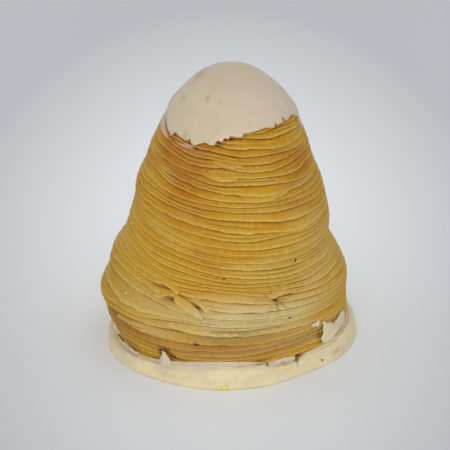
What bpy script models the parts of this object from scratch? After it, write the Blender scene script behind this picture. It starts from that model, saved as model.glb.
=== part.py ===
"""Bell-shaped sfogliatella: a cone of wound, laminated dough with white glaze on its tip and foot.

Four solids: the laminated pastry, the glaze cap on its tip, the glaze foot that it stands in, and a
splash of glaze low on its right side. Metres, +Z up, the front is -Y, the origin is under the foot.
Directions are in degrees round +Z from +X, so that the front is at -90 and the left at 180.
"""

import math
import random

import bmesh
import bpy
import numpy as np

MM = 0.001

# The bell's outer form: height, and its reach from the axis to the left, to the right, and to
# the front and back. The tip leans a little to the right.
BELL_MM = [
    (1.3, 34.2, 36.4, 33.6),
    (6.0, 36.7, 37.0, 34.4),
    (12.0, 38.2, 36.7, 34.7),
    (18.0, 39.0, 36.3, 34.5),
    (24.0, 36.8, 35.9, 33.6),
    (30.0, 35.4, 33.1, 32.4),
    (36.0, 31.9, 30.4, 31.2),
    (42.0, 30.0, 30.4, 30.0),
    (48.0, 28.4, 29.4, 28.8),
    (54.0, 27.8, 27.8, 27.5),
    (60.0, 25.2, 25.7, 25.6),
    (66.0, 23.2, 23.9, 23.5),
    (70.0, 21.3, 22.3, 21.8),
    (74.0, 19.6, 20.9, 20.2),
    (78.0, 17.5, 19.5, 18.5),
    (82.0, 14.6, 16.7, 15.7),
    (85.0, 11.7, 13.6, 12.7),
    (87.6, 8.6, 10.5, 9.6),
    (89.6, 5.3, 7.2, 6.3),
    (91.0, 2.0, 3.8, 2.9),
    (91.5, -1.0, 1.0, 0.0),
]

# Where the bell is flattened: direction, height in mm, reach round, reach up, depth.
FLATS = [(-50, 3.0, 26, 14.0, 2.1), (-158, 6.0, 20, 4.5, 0.7)]

# Slow swells on the front and back: their height, their pitch up the side, how they drift round the
# bell in radians, and the shares of the side where they begin and end.
SWELL = 0.3 * MM
SWELL_PITCH = 13.0 * MM
SWELL_DRIFT = 2.0
SWELL_TURNED = 0.7
SWELL_SHARES = (0.06, 0.78)
SWELL_FADE = 0.1

# The wound strip of dough: each turn shows as one layer that laps over the turn below it. The layers
# wander and their creases vary along the strip. Waves are a seed, how many, and the fastest in a turn.
TURNS = 42
PLAIN_TURNS = 37
LAYER = 2.1 * MM
HIDDEN_LAYER = 4.6 * MM
WANDER = 0.62 * MM
WANDER_WAVES = (11, 10, 3.2)
CREASE_DEPTH = 0.8 * MM
CREASE_PLACE = 0.95
CREASE_UNEVEN = 0.35
CREASE_WAVES = (23, 8, 6.5)
STRIP_END = 4.0 * MM
COLUMNS = 56

# The turns lie level at the foot and rise to the left above it. Half way up they dip to the front.
RISE_LEFT = 0.12
RISE_HEIGHTS = (12.0 * MM, 31.0 * MM)
DIP_FRONT = 0.08
DIP_MIDDLE = 44.0 * MM
DIP_SPREAD = 9.0 * MM
LEVEL_TIP = 0.12

# The relief fades out where glaze covers the dough: what is left of it, where it starts below the
# cap's edge and above the foot's top, and how far it takes to fade.
COVERED_RELIEF = 0.35
CAP_FADE_START = 0.5 * MM
CAP_FADE = 4.0 * MM
FOOT_FADE_START = 1.0 * MM
FOOT_FADE = 2.0 * MM

# Where layers spread or are squeezed: direction, height in mm, reach round, reach up, share.
SPREADS = [
    (-97, 65.5, 15, 2.6, 0.9),
    (-148, 22.0, 26, 6.0, 0.6),
    (-88, 29.0, 20, 3.0, 0.7),
    (-95, 22.5, 40, 3.5, -0.3),
    (60, 30.0, 30, 6.0, 0.6),
    (140, 48.0, 26, 5.0, -0.4),
]

# Where a layer has torn and curled outwards: direction, height, reach round, reach up, lift in mm.
CURLS = [
    (-126, 28.6, 8, 1.5, 1.1),
    (-107, 27.0, 7, 1.5, 0.8),
    (-61, 28.2, 8, 1.4, 0.7),
    (-170, 17.5, 10, 2.0, 0.5),
]

# The glaze cap: its lower edge climbs and sags. Direction, spread, change in mm.
CAP_LINE = 75.0 * MM
CAP_LOBES = [(-128, 26, -2.5), (-50, 38, 2.9), (2, 14, -1.8), (-172, 12, 1.2), (100, 30, 0.8)]
CAP_PROUD = 0.15 * MM
CAP_THICK = 0.95 * MM
CAP_EDGE = 0.5 * MM
CAP_BEVEL = 1.04
CAP_OPEN = 2.0 * MM
CAP_ROWS = 9
GAP = 0.35 * MM

# Under the cap the dough draws in to make room for it, from this far below the cap's edge.
NECK_START = 3.2 * MM
NECK_LENGTH = 2.4 * MM

# The glaze foot: a puddle that climbs the pastry as a collar. Direction, spread, change in mm.
FOOT_REACH = 37.3 * MM
FOOT_LOBES = [
    (-155, 28, 1.1),
    (-100, 45, -2.2),
    (-49, 20, -2.2),
    (5, 26, 2.6),
    (30, 20, 2.0),
    (120, 30, 0.9),
    (178, 14, -0.4),
]
FOOT_UNDERCUT = 1.1 * MM
FOOT_BULGE = 1.8 * MM
FOOT_ROUND = 0.15 * MM
FOOT_ROUND_AT = 0.4
FOOT_SHOULDER = 1.2
FOOT_ARC = (0, 20, 40, 60, 75, 88)
FOOT_INNER_SHARES = (0.2, 0.6)
FOOT_FLOOR = 0.95 * MM
FOOT_FLOOR_SHARE = 0.3
COLLAR_HEIGHT = 5.0 * MM
COLLAR_LOBES = [(-92, 33, 4.4), (-14, 31, 3.4), (176, 18, -2.0)]
COLLAR_RIM = 0.7 * MM
COLLAR_LIP = 0.3 * MM
COLLAR_EASE = 0.1 * MM

# The splash: its outline as points of direction and height in mm, how thick it lies, and the shares
# of its size and its thickness from its middle underneath, round its rim, to its middle on top.
SPLASH = [
    (-10, 12.6),
    (-20, 13.0),
    (-27, 11.8),
    (-33, 14.8),
    (-41, 15.4),
    (-39, 13.0),
    (-36, 10.6),
    (-38, 8.6),
    (-32, 8.6),
    (-24, 9.3),
    (-15, 9.8),
]
SPLASH_THICK = 0.9 * MM
SPLASH_RINGS = [(0.15, 0), (0.6, 0), (0.97, 0), (1.0, 0.5), (0.88, 0.9), (0.5, 1), (0.15, 1)]

DOUGH = (0.47, 0.265, 0.035, 1.0)
GLAZE = (0.66, 0.56, 0.41, 1.0)
SHARP_DEGREES = 40
OUTLINE_STEPS = 8


def smooth_step(x):
    x = np.clip(x, 0.0, 1.0)
    return x * x * (3.0 - 2.0 * x)


def through(points, steps):
    """A Catmull-Rom curve through points, with that many steps between each pair."""
    p = np.array(points, float)
    p = np.vstack([2 * p[0] - p[1], p, 2 * p[-1] - p[-2]])
    t = np.linspace(0.0, 1.0, steps, endpoint=False)[:, None]
    spans = [
        0.5
        * (
            2 * b
            + (c - a) * t
            + (2 * a - 5 * b + 4 * c - d) * t**2
            + (3 * b - a - 3 * c + d) * t**3
        )
        for a, b, c, d in zip(p, p[1:], p[2:], p[3:])
    ]
    return np.vstack([*spans, p[-2:-1]])


def bell_outline():
    """The outline's length, and rows of share of that length, height, left, right, front reach."""
    line = through(BELL_MM, OUTLINE_STEPS) * MM
    mean = 0.5 * (line[:, 1] + line[:, 2])
    length = np.concatenate([[0.0], np.cumsum(np.hypot(np.diff(line[:, 0]), np.diff(mean)))])
    return length[-1], np.column_stack([length / length[-1], line])


OUTLINE_LENGTH, OUTLINE = bell_outline()


def outline_at(share):
    """Height, left, right and front reach at a share of the outline's length."""
    return [np.interp(share, OUTLINE[:, 0], OUTLINE[:, column]) for column in (1, 2, 3, 4)]


def share_at_height(height):
    return np.interp(height, OUTLINE[:, 1], OUTLINE[:, 0])


def away_from(direction, angle):
    """How many degrees an angle is from a direction, the shorter way round."""
    return (np.degrees(angle) - direction + 180) % 360 - 180


def patches(places, height, angle):
    """The sum of soft bumps, each given by direction, height, reach round, reach up and size."""
    total = 0.0
    for direction, middle, round_deg, up_mm, size in places:
        above = (height / MM - middle) / up_mm
        total = total + size * MM * np.exp(-((away_from(direction, angle) / round_deg) ** 2) - above**2)
    return total


def section(share, angle):
    """The level section through the bell: its centre, its reach to the side and to the front."""
    height, left, right, front = outline_at(share)
    drift = SWELL_DRIFT * np.sin(angle + SWELL_TURNED)
    wave = np.sin(2 * math.pi * share * OUTLINE_LENGTH / SWELL_PITCH + drift)
    low, high = SWELL_SHARES
    calm = smooth_step((high - share) / SWELL_FADE) * smooth_step((share - low) / SWELL_FADE)
    flat = patches(FLATS, height, angle)
    return 0.5 * (right - left), 0.5 * (left + right) - flat, front + SWELL * wave * calm - flat


def bell_point(share, angle, out):
    """A point on the bell, moved out from its surface by the length out."""
    step = 0.004
    below, above = np.clip(share - step, 0, 1), np.clip(share + step, 0, 1)
    rise = outline_at(above)[0] - outline_at(below)[0]
    run = section(above, angle)[1] - section(below, angle)[1]
    size = np.hypot(rise, run)
    centre, side, front = section(share, angle)
    outward = out * rise / size
    x = centre + (side + outward) * np.cos(angle)
    y = (front + outward) * np.sin(angle)
    return np.stack([x, y, outline_at(share)[0] - out * run / size + 0.0 * angle], -1)


def lobed(base, lobes, angle):
    """A length that swells or shrinks in some directions."""
    bumps = [change * MM * np.exp(-((away_from(at, angle) / spread) ** 2)) for at, spread, change in lobes]
    return base + sum(bumps)


class Waver:
    """A smooth uneven value along the strip, between about -1 and 1, from a few sine waves."""

    def __init__(self, seed, waves, fastest):
        draw = random.Random(seed)
        self.waves = [
            (draw.uniform(0.6, fastest), draw.uniform(0.0, 2 * math.pi), draw.uniform(0.5, 1.0))
            for _ in range(waves)
        ]

    def at(self, turn):
        total = sum(size for _, _, size in self.waves)
        return 1.8 * sum(s * np.sin(2 * math.pi * f * turn + p) for f, p, s in self.waves) / total


PLACE_WAVER = Waver(*WANDER_WAVES)
RELIEF_WAVER = Waver(*CREASE_WAVES)


def layer_positions():
    """For each layer and column: the length up the outline to its lip, and the layer's width.

    The strip tapers to nothing at both ends, so that column 0 and the column after the last one
    are the same line, one turn apart.
    """
    angle = np.linspace(0.0, 2 * math.pi, COLUMNS + 1)
    turn = np.arange(-1, TURNS)[:, None] + angle / (2 * math.pi)
    width = LAYER + (HIDDEN_LAYER - LAYER) * smooth_step((turn - PLAIN_TURNS) / 2.0)
    width = width * np.clip(turn + 1, 0, 1) * np.clip(TURNS - turn, 0, 1)
    total = width.sum(axis=0)
    start = np.cumsum(width, axis=0) - width
    lips = np.vstack([start, total[None, :]]) / total * (OUTLINE_LENGTH - STRIP_END)
    steady = smooth_step(lips[1:-1] / (3 * LAYER))
    lips[1:-1] += WANDER * PLACE_WAVER.at(turn[1:]) * steady
    return angle, turn, lips, np.diff(lips, axis=0)


def settled(length, angle):
    """The share of the outline where a turn came to rest as the dough settled in the oven.

    The turns rise to the left, dip to the front, and spread or squeeze in places.
    """
    share = length / OUTLINE_LENGTH
    height, left, right, _ = outline_at(share)
    reach = 0.5 * (left + right)
    dip = DIP_FRONT * np.exp(-(((height - DIP_MIDDLE) / DIP_SPREAD) ** 2))
    low, high = RISE_HEIGHTS
    rise = RISE_LEFT * smooth_step((height - low) / (high - low))
    near_tip = smooth_step((1.0 - share) / LEVEL_TIP)
    moved = reach * near_tip * (dip * np.sin(angle) - rise * np.cos(angle))
    for direction, middle, round_deg, up_mm, gain in SPREADS:
        above = height - middle * MM
        near = np.exp(-((away_from(direction, angle) / round_deg) ** 2) - (above / (up_mm * MM)) ** 2)
        moved = moved + gain * above * near
    return np.clip(share + moved / OUTLINE_LENGTH, 0.0, 1.0)


def cap_height(angle):
    """The height of the cap's lower edge in one direction."""
    return lobed(CAP_LINE, CAP_LOBES, angle)


def collar_height(angle):
    """The height that the foot's collar reaches on the pastry in one direction."""
    return lobed(COLLAR_HEIGHT, COLLAR_LOBES, angle)


def bared(height, angle):
    """How much of the layers' relief there is: less where the glaze covers them."""
    top = smooth_step((cap_height(angle) - height - CAP_FADE_START) / CAP_FADE)
    foot = smooth_step((height - collar_height(angle) + FOOT_FADE_START) / FOOT_FADE)
    return COVERED_RELIEF + (1.0 - COVERED_RELIEF) * top * foot


def finish(bm, name, colour, roughness):
    """Makes the object and its material from a closed mesh."""
    bmesh.ops.recalc_face_normals(bm, faces=bm.faces)
    bmesh.ops.triangulate(bm, faces=bm.faces)
    mesh = bpy.data.meshes.new(name)
    bm.to_mesh(mesh)
    bm.free()
    mesh.shade_smooth()
    mesh.set_sharp_from_angle(angle=math.radians(SHARP_DEGREES))
    material = bpy.data.materials.new(name)
    material.use_nodes = True
    shader = material.node_tree.nodes["Principled BSDF"]
    shader.inputs["Base Color"].default_value = colour
    shader.inputs["Roughness"].default_value = roughness
    shader.inputs["Metallic"].default_value = 0.0
    mesh.materials.append(material)
    bpy.context.scene.collection.objects.link(bpy.data.objects.new(name, mesh))


def loft(rings):
    """A closed mesh through rings of points, from its first ring to its last, both filled."""
    bm = bmesh.new()
    loops = [[bm.verts.new(p) for p in ring] for ring in rings]
    for low, high in zip(loops, loops[1:]):
        for i in range(len(low)):
            after = (i + 1) % len(low)
            bm.faces.new([low[i], low[after], high[after], high[i]])
    bm.faces.new(loops[0])
    bm.faces.new(loops[-1])
    return bm


def pastry():
    """The laminated cone, as one strip wound from the foot to the tip, each turn lapping the last."""
    angle, turn, lips, width = layer_positions()
    lengths = np.empty((2 * len(turn) + 1, COLUMNS + 1))
    lengths[0::2] = lips
    lengths[1::2] = lips[:-1] + CREASE_PLACE * width
    shares = settled(lengths, angle)
    heights = outline_at(shares)[0]
    outs = patches(CURLS, heights, angle)
    relief = np.clip(width / LAYER, 0.0, 1.3) * (1.0 + CREASE_UNEVEN * RELIEF_WAVER.at(turn))
    outs[1::2] -= CREASE_DEPTH * relief * bared(heights[1::2], angle)
    under_cap = smooth_step((heights - cap_height(angle) + NECK_START) / NECK_LENGTH)
    outs = outs * (1.0 - under_cap) - (CAP_THICK - CAP_PROUD + GAP) * under_cap
    grid = bell_point(shares, np.broadcast_to(angle, shares.shape), outs)
    grid[0, :, 2] = BELL_MM[0][0] * MM
    bm = bmesh.new()
    last = len(shares) - 1
    verts = {}

    def vertex(row, column):
        if column == COLUMNS:
            row, column = min(row + 2, last), 0
        if column == 0:
            row = max(row, 2)
        if (row, column) not in verts:
            verts[row, column] = bm.verts.new(grid[0, 0] if (row, column) == (2, 0) else grid[row, column])
        return verts[row, column]

    for row in range(last):
        for column in range(COLUMNS):
            corners = [(row, column), (row, column + 1), (row + 1, column + 1), (row + 1, column)]
            distinct = list(dict.fromkeys(vertex(*corner) for corner in corners))
            if len(distinct) > 2:
                bm.faces.new(distinct)
    for row in (0, last):
        bm.faces.new(list(dict.fromkeys(vertex(row, column) for column in range(COLUMNS))))
    finish(bm, "pastry", DOUGH, 0.6)


def round_angles():
    return np.linspace(0.0, 2 * math.pi, COLUMNS, endpoint=False)


def glaze_cap():
    """The thin shell of white glaze over the tip."""
    angle = round_angles()
    edge = share_at_height(cap_height(angle))
    top = 1.0 - CAP_OPEN / OUTLINE_LENGTH
    steps = np.linspace(0.0, 1.0, CAP_ROWS)
    rings = [bell_point(top + (edge - top) * step, angle, CAP_PROUD - CAP_THICK) for step in steps]
    rings.append(bell_point(edge, angle, CAP_PROUD - CAP_THICK + CAP_EDGE))
    steps = steps[:-1] * CAP_BEVEL
    rings += [bell_point(top + (edge - top) * step, angle, CAP_PROUD) for step in reversed(steps)]
    finish(loft(rings), "glaze_cap", GLAZE, 0.35)


def glaze_foot():
    """The puddle of glaze under the pastry, with the collar that climbs its side."""
    angle = round_angles()
    collar = collar_height(angle)
    floor = np.full(COLUMNS, FOOT_FLOOR)

    def level_ring(reach, height):
        return np.stack([reach * np.cos(angle), reach * np.sin(angle), height + 0.0 * angle], -1)

    def wall(height):
        centre, side, front = section(share_at_height(height), angle)
        x = centre + (side + GAP + COLLAR_EASE) * np.cos(angle)
        y = (front + GAP + COLLAR_EASE) * np.sin(angle)
        return np.stack([x, y, height], -1)

    inner = wall(collar)
    reach = np.maximum(lobed(FOOT_REACH, FOOT_LOBES, angle), np.hypot(inner[:, 0], inner[:, 1]) + COLLAR_RIM)
    rings = [level_ring(share * reach, 0.0) for share in FOOT_INNER_SHARES]
    rings.append(level_ring(reach - FOOT_UNDERCUT, 0.0))
    rings.append(level_ring(reach - FOOT_ROUND, FOOT_ROUND_AT * FOOT_BULGE))
    outer = level_ring(reach, FOOT_BULGE)
    for turn in np.radians(FOOT_ARC):
        ring = inner + (outer - inner) * math.cos(turn) ** FOOT_SHOULDER
        ring[:, 2] = FOOT_BULGE + (collar - FOOT_BULGE) * math.sin(turn)
        rings.append(ring)
    rings += [wall(collar - COLLAR_LIP), wall(0.5 * (collar + floor)), wall(floor)]
    rings.append(level_ring(FOOT_FLOOR_SHARE * reach, FOOT_FLOOR))
    finish(loft(rings), "glaze_foot", GLAZE, 0.35)


def glaze_splash():
    """A torn fleck of glaze that stuck to the pastry, low on the right."""
    outline = np.array(SPLASH) * [1.0, MM]
    middle = outline.mean(axis=0)
    rings = []
    for size, thick in SPLASH_RINGS:
        at = middle + size * (outline - middle)
        rings.append(bell_point(share_at_height(at[:, 1]), np.radians(at[:, 0]), GAP + thick * SPLASH_THICK))
    finish(loft(rings), "glaze_splash", GLAZE, 0.35)


for leftover in list(bpy.data.objects):
    bpy.data.objects.remove(leftover)
pastry()
glaze_cap()
glaze_foot()
glaze_splash()
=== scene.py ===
import math
import random

import bmesh
import bpy
import numpy as np
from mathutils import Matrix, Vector, noise


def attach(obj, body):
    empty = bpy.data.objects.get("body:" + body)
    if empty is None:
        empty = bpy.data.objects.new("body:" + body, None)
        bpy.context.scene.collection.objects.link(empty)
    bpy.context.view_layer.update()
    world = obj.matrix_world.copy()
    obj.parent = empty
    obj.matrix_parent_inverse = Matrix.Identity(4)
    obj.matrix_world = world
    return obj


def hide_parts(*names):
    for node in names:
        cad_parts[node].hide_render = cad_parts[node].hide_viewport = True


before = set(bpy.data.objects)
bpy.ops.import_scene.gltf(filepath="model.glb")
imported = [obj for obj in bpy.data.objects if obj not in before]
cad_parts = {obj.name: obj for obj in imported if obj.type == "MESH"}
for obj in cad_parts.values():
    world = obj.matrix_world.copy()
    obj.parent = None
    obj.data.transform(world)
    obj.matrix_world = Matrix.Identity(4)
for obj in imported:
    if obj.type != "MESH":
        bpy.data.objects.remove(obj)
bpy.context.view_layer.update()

# The wound dough: a long buttered sheet of pastry, rolled up and drawn out into a bell, so that each
# turn laps over the turn below and shows its thin edge. It is baked golden, more toasted under the
# tip and paler low at the front. Directions are degrees round the upright axis, with the front at -90.
MM = 0.001

# The bell: height, and its reach to the left, to the right and to the front.
BELL_MM = [
    (1.3, 34.2, 36.4, 33.6), (6, 36.7, 37, 34.4), (12, 38.2, 36.7, 34.7), (18, 39, 36.3, 34.5),
    (24, 36.8, 36.5, 33.6), (30, 35.4, 33.7, 32.4), (36, 31.9, 30.9, 31.2), (42, 30, 30.9, 30),
    (48, 28.4, 30, 28.8), (54, 27.8, 28.5, 27.5), (60, 25.2, 26.2, 25.6), (66, 23.2, 24.4, 23.5),
    (70, 21.3, 23, 21.8), (74, 19.6, 21.4, 20.2), (78, 17.5, 19.5, 18.5), (82, 14.6, 16.7, 15.7),
    (85, 12, 14, 12.9), (87.6, 9.2, 11.1, 10.1), (89.6, 6.1, 8, 7), (91, 2.6, 4.4, 3.5), (91.5, -1, 1, 0),
]

# A place on the bell is a direction, a height in mm, a reach round in degrees, a reach up in mm, and a
# size. Here the bell is flatter by that many mm.
FLATS = [(-50, 3.0, 26, 14.0, 2.1), (-158, 6.0, 20, 4.5, 0.7)]

# Slow swells run up the front of the bell. They lean round it, and fade at the foot and under the tip.
SWELL = 0.3 * MM
SWELL_PITCH = 13.0 * MM
SWELL_LEAN = 2.0
SWELL_TURN = 0.7
SWELL_SHARES = (0.06, 0.78)
SWELL_FADE = 0.1

# The roll is two strips laid end to end: how many turns they make, how wide a turn shows, and how
# deep its lip stands over the turn below. The strips meet where the first one runs out.
TURNS = 42
SPLICE = 21
PLAIN_TURNS = 37
WIDENING_TURNS = 2.0
LAYER = 2.1 * MM
HIDDEN_LAYER = 4.6 * MM
LEAST_SHOWN = 0.55 * MM
STRIP_END = 4.0 * MM
DOUGH_COLUMNS = 400
FRONT_SHARE = 0.3
LIP_DEPTH = 0.62 * MM
LIP_SLOT = 0.22 * MM
LIP_SLOPE = 0.82
LIP_MEAN = 0.95
LIP_RANGE = (0.12, 1.9)
DEEPEST_LIP = 1.4
SECOND_LIP = 0.2 * MM
SECOND_MIDDLE = 0.5
SECOND_SHIFT = 0.16
SECOND_MEAN = 0.3
SECOND_RANGE = (0.0, 1.7)

# What varies along the strip is a sum of waves. Each entry here is a size, a seed, a number of waves,
# and the fastest of them in waves to a turn.
SLOWEST_WAVE = 0.6
WAVE_GAIN = 1.8
WANDER = [(1.05 * MM, 11, 10, 3.2), (0.68 * MM, 12, 16, 10)]
LIP_CHANGE = [(1.0, 23, 20, 13.0)]
SECOND_PLACE = [(1.0, 24, 12, 4.0)]
SECOND_CHANGE = [(1.7, 25, 18, 10.0)]
RIPPLE = [(0.115, 31, 40, 34), (0.045, 32, 50, 90)]
LIP_FLUTTER = [(0.08 * MM, 33, 50, 60)]
FOOT_SHADE = [(0.9, 35, 16, 16)]

# How the turns lie: they rise to the left above the foot, and dip to the front half way up.
RISE_LEFT = 0.12
RISE_HEIGHTS = (12.0 * MM, 31.0 * MM)
DIP_FRONT = 0.08
DIP_MIDDLE = 44.0 * MM
DIP_SPREAD = 9.0 * MM
NEAR_TIP = 0.12

# Where the turns lie further apart, or closer together where the size is below nothing.
SPREADS = [
    (-97, 65.5, 15, 2.6, 0.9), (-148, 22, 26, 6, 0.6), (-88, 29, 20, 3, 0.7), (-95, 22.5, 40, 3.5, -0.3),
    (60, 30, 30, 6, 0.6), (140, 48, 26, 5, -0.4),
]
# Where the lips stand deeper or shallower over the turn below.
DEEPER = [
    (-125, 62, 26, 9, 0.45), (-140, 15, 24, 1.6, 0.8), (-142, 25, 26, 6, -0.5), (-85, 21, 26, 6, 0.35),
    (-25, 40, 24, 22, -0.35), (-70, 70, 40, 4, 0.3), (60, 25, 30, 8, 0.4), (120, 50, 30, 10, -0.4),
]
# Where the layers are softer, with no second lips between them.
CALM = [(-172, 46, 36, 24, -1.0), (-145, 24, 28, 7, -1.0), (20, 50, 30, 24, -0.6)]
# Where the lips are more ragged, where they have lifted, and where the sheet is dented, in mm.
RAGGED = [(-85, 22, 30, 10, 1.0)]
LIFTS = [
    (-126, 28.6, 8, 1.5, 0.8), (-107, 27, 7, 1.5, 0.6), (-61, 28.6, 8, 1.2, 0.7),
    (-170, 17.5, 10, 2, 0.5), (-140, 16.6, 24, 1.4, 0.5), (-78, 20, 14, 1.2, 0.3),
    (-60, 66, 12, 1.2, 0.3), (40, 33, 10, 1.4, 0.8), (110, 22, 12, 1.5, 0.7),
]
DENTS = [
    (-104, 26.9, 3, 0.8, -1.2), (-117.5, 27.9, 3.6, 0.9, -1.3), (-122, 31.2, 7, 0.5, -1),
    (-65, 28, 1.8, 0.8, -1.3), (-58, 28.8, 5, 0.45, -0.9), (-120.5, 8.9, 3.6, 1.4, -1.3),
    (-75, 50.4, 1.1, 1.6, 0.35), (-89, 14.6, 14, 0.8, -0.4),
]
# Where the dough is painted darker as painted shade: in recesses, under lifted flakes, and in gaps beside
# the glaze.
DARKS = [
    (-104, 26.8, 2.6, 0.6, 1.2), (-117.5, 27.8, 3.2, 0.7, 0.9), (-122, 31.2, 6.5, 0.35, 1),
    (-65, 27.9, 1.7, 0.7, 1.3), (-58, 28.7, 5, 0.3, 1.2), (-65.2, 26.6, 0.7, 1.2, 1),
    (-62.4, 26.9, 2, 0.3, 0.8), (-122.8, 9.2, 1.3, 1.7, 2.3), (-116.6, 8.9, 2.4, 0.6, 2.1),
    (-119.6, 10.6, 2.4, 0.9, 2.3), (-53, 6.6, 2.2, 0.7, 2), (-90, 14.8, 15, 0.7, 0.35),
    (-38.5, 11.5, 1.6, 2.2, 1), (-28, 8.6, 9, 0.8, 1.1), (-17, 10, 4, 1.2, 1), (-112, 8.4, 6, 0.5, 0.9),
    (-146, 7, 12, 0.6, 0.9), (-74, 8.6, 5, 0.35, 1.3),
]

# Small openings where a crease runs in under the edge of the glaze cap: pushed in, and painted dark as
# painted shade.
PITS = [
    (-145.4, 73.7, 1.5, 0.45, 1), (-133, 73.1, 3, 0.35, 0.8), (-126.6, 73.4, 1.5, 0.45, 1.2),
    (-120.5, 72.5, 2.5, 0.3, 0.9), (-101.2, 74.5, 1.7, 0.55, 1.6), (-98, 74.3, 2.4, 0.3, 0.8),
    (-95.4, 75.4, 1.3, 0.45, 1.3), (-90.2, 76.1, 1.2, 0.4, 1.2), (-78.4, 76.7, 1.2, 0.4, 0.9),
    (-45.4, 77.6, 1.5, 0.55, 1), (-34, 78.2, 1.5, 0.55, 1), (-19, 77.2, 1.5, 0.4, 0.8),
]
# Where the dough shows as a brown ridge along the cap's edge, with a film of glaze outside it.
RIDGES = [(-182, 77.0, 18, 5.0, 1.0), (-160, 75.0, 16, 3.0, 0.9)]

# The belly low on the left: its lower edge, as direction and height in mm, hangs over a recess that is
# painted darker as painted shade.
BELLY_EDGE = [
    (-180, 19), (-166, 18.2), (-152, 17), (-147, 15.3), (-132, 15), (-121, 15.4), (-100, 15),
]
BELLY_MIDDLE = -158
BELLY_REACH = 34
BELLY_RECESS = 0.75 * MM
BELLY_ROLL = 0.3 * MM
BELLY_ROLL_HEIGHT = 1.4 * MM
BELLY_ROLL_SPREAD = 1.732 * MM
BELLY_LIP = 0.22 * MM
BELLY_LIP_HEIGHT = 0.15 * MM
BELLY_EDGE_SPREAD = 0.3 * MM
BELLY_SHADE_DEPTH = 3.0 * MM
BELLY_SLOT = 0.7 * MM

# A pucker is a direction, a height in mm, its reach in mm, its number of folds, and their depth in mm.
PUCKERS = [(-65.0, 27.8, 4.6, 8, 0.7), (-98.5, 24.6, 3.6, 6, 0.42), (75, 31.0, 4.0, 6, 0.4)]
PUCKER_FADE = 1.6
PUCKER_HELD = 0.4

# Smaller unevenness of the sheet: depth and size. Then how deep a pit goes.
DOUGH_LUMP = 0.18 * MM
DOUGH_LUMP_SIZE = 6.5 * MM
PIT_DEPTH = 0.35 * MM

# Where the lips are white with glaze, and where a thin film of it was smeared over the dough.
WHITE_LIPS = [(-165, 73.0, 45, 3.0, 0.8)]
FILMS = [
    (-172, 73.8, 12, 1.6, 1.1), (-184, 76, 12, 2.6, 1.1), (-198, 78, 10, 3, 0.8),
    (-160, 72.4, 8, 0.6, 0.9), (-128, 72.3, 14, 0.5, 0.9), (4, 73.5, 12, 2.6, 0.9),
    (-64, 7.6, 9, 0.35, 0.7), (-100, 9.6, 12, 0.3, 0.5), (-140, 6, 9, 0.4, 0.5), (120, 72, 30, 2, 0.7),
]

GOLDEN = (0.515, 0.272, 0.012)
TOASTED = (0.385, 0.130, 0.002)
PALE_DOUGH = (0.55, 0.435, 0.200)
# Painted shade in the creases, partly the dough's own browner colour there.
CREASE_SHADE_BROWN = (0.225, 0.072, 0.002)
# The thin lips: the paler cut edge of the dough, with a painted highlight along it.
EDGE_CREAM_AND_HIGHLIGHT = (0.66, 0.490, 0.135)
WHITE_FILM = (0.60, 0.490, 0.400)
# Painted shade in pits, openings and the deepest slots.
OPENING_SHADE = (0.075, 0.016, 0.006)
GREY_DOUGH = (0.30, 0.200, 0.072)
# Where the dough is toasted browner, and where it is paler.
TOASTS = [
    (-130, 70.5, 24, 6.5, 1.8), (-118, 61.5, 16, 5, 0.5), (-124, 54, 22, 7, 0.55), (-104, 43, 13, 7, 0.3),
    (-95, 36, 12, 4, 0.35), (-65, 69, 44, 5, 0.4), (-30, 62, 24, 12, 0.38), (-45, 58, 22, 8, 0.2),
    (-88, 12.4, 50, 3.2, 0.95), (-160, 13, 14, 7, 0.6), (-100, 53, 24, 5, 0.15), (-170, 60, 20, 18, 0.3),
    (100, 60, 50, 14, 0.6), (70, 15, 50, 5, 0.4),
]
PALES = [
    (-86, 23, 28, 5.2, 1.1), (-135, 24, 22, 6, 0.2), (-127, 17, 13, 4, 0.25), (-30, 38, 26, 22, 0.3),
    (-55, 22, 20, 7, 0.45), (-75, 36, 20, 6, 0.15), (60, 32, 40, 12, 0.4), (160, 36, 24, 14, 0.3),
]
# Where the dough is greyer, from steam and flour.
GREYS = [
    (-91, 18, 17, 1.9, 1.5), (-45, 12.5, 14, 2.5, 0.5), (-66, 16.5, 12, 1.6, 0.5),
    (-85, 11.8, 48, 3, 0.62), (-140, 24, 26, 7, 0.25), (-152, 12, 16, 6, 0.4), (80, 18, 25, 4, 0.5),
]


def smooth_step(x):
    """0 below 0 and 1 above 1, with a soft rise between."""
    x = np.clip(x, 0.0, 1.0)
    return x * x * (3.0 - 2.0 * x)


def peak(distance, spread):
    """1 at no distance, falling off softly over the spread."""
    return np.exp(-((distance / spread) ** 2))


def through(points, steps):
    """A Catmull-Rom curve through points, with that many steps between each pair."""
    p = np.array(points, float)
    p = np.vstack([2 * p[0] - p[1], p, 2 * p[-1] - p[-2]])
    t = np.linspace(0.0, 1.0, steps, endpoint=False)[:, None]
    spans = []
    for a, b, c, d in zip(p, p[1:], p[2:], p[3:]):
        square, cube = 2 * a - 5 * b + 4 * c - d, 3 * b - a - 3 * c + d
        spans.append(0.5 * (2 * b + (c - a) * t + square * t**2 + cube * t**3))
    return np.vstack([*spans, p[-2:-1]])


bell_line = through(BELL_MM, 8) * MM
bell_climb = np.hypot(np.diff(bell_line[:, 0]), np.diff(0.5 * (bell_line[:, 1] + bell_line[:, 2])))
bell_length = np.concatenate([[0.0], np.cumsum(bell_climb)])
SIDE_LENGTH = bell_length[-1]


def outline_at(share):
    """Height and reach to the left, right and front at a share of the way up the bell's side."""
    return [np.interp(share, bell_length / SIDE_LENGTH, bell_line[:, column]) for column in range(4)]


def share_at_height(height):
    return np.interp(height, bell_line[:, 0], bell_length / SIDE_LENGTH)


def away_from(direction, angle):
    """How many degrees an angle is from a direction, the shorter way round."""
    return (np.degrees(angle) - direction + 180) % 360 - 180


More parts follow.
